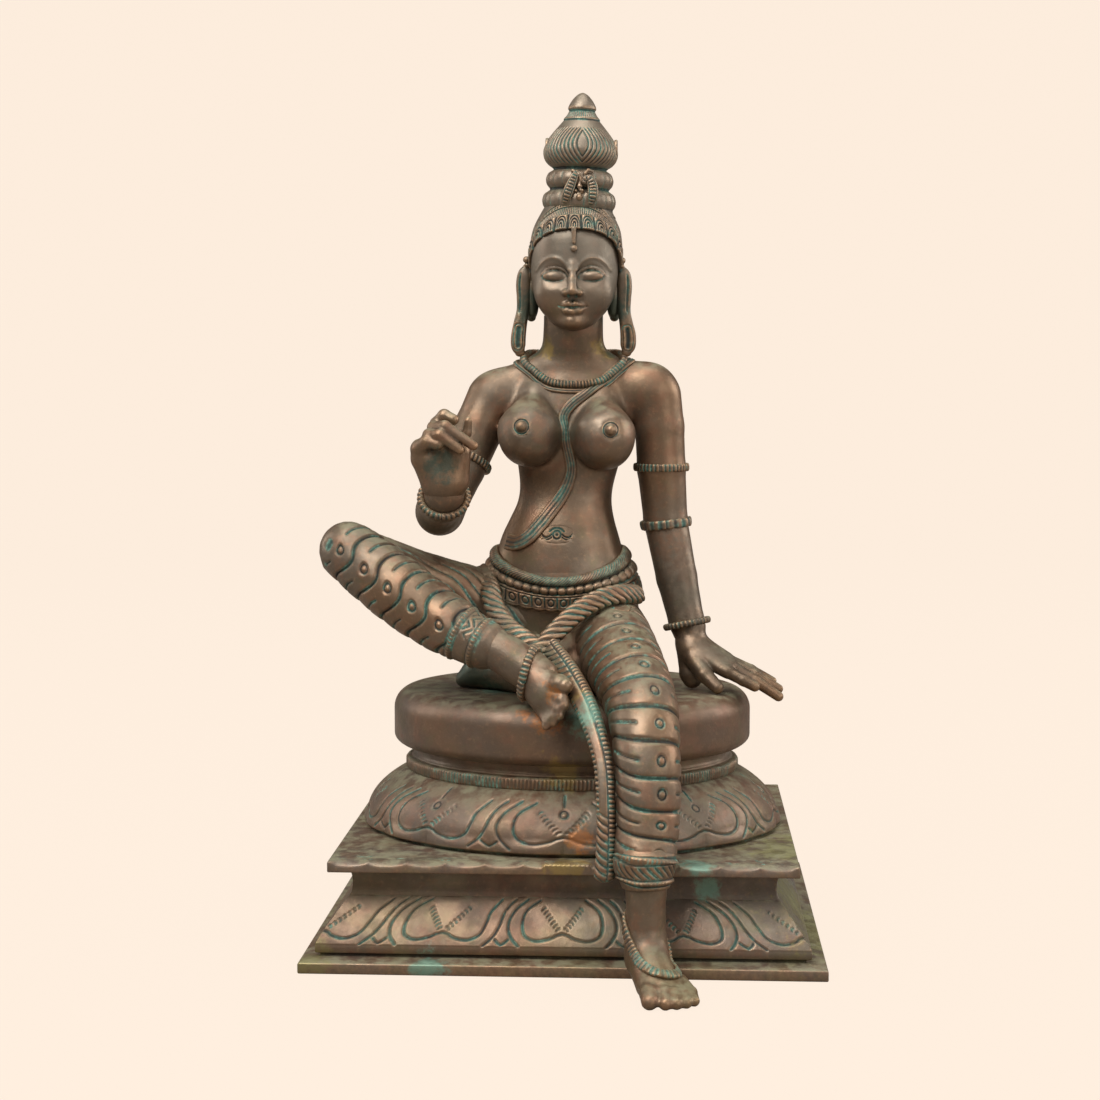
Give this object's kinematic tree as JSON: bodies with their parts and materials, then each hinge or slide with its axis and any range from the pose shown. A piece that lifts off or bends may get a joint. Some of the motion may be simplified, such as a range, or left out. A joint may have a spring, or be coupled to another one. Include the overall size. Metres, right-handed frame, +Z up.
{
  "type": "parvati figure",
  "caption": "Cast bronze seated goddess with a raised right hand and one leg hanging, on a tiered lotus plinth, aged brown with green patina.",
  "frame": {"origin": "centre of the plinth's underside", "axes": "+Z up, the figure's front faces -Y, +X is to the right of someone who looks at its front"},
  "size_m": [0.2409, 0.2589, 0.4071],
  "materials": {
    "figure_bronze": "satin",
    "plinth_bronze": "satin"
  },
  "bodies": {
    "root": {"figure": "figure_bronze", "plinth": "plinth_bronze"}
  },
  "joints": []
}
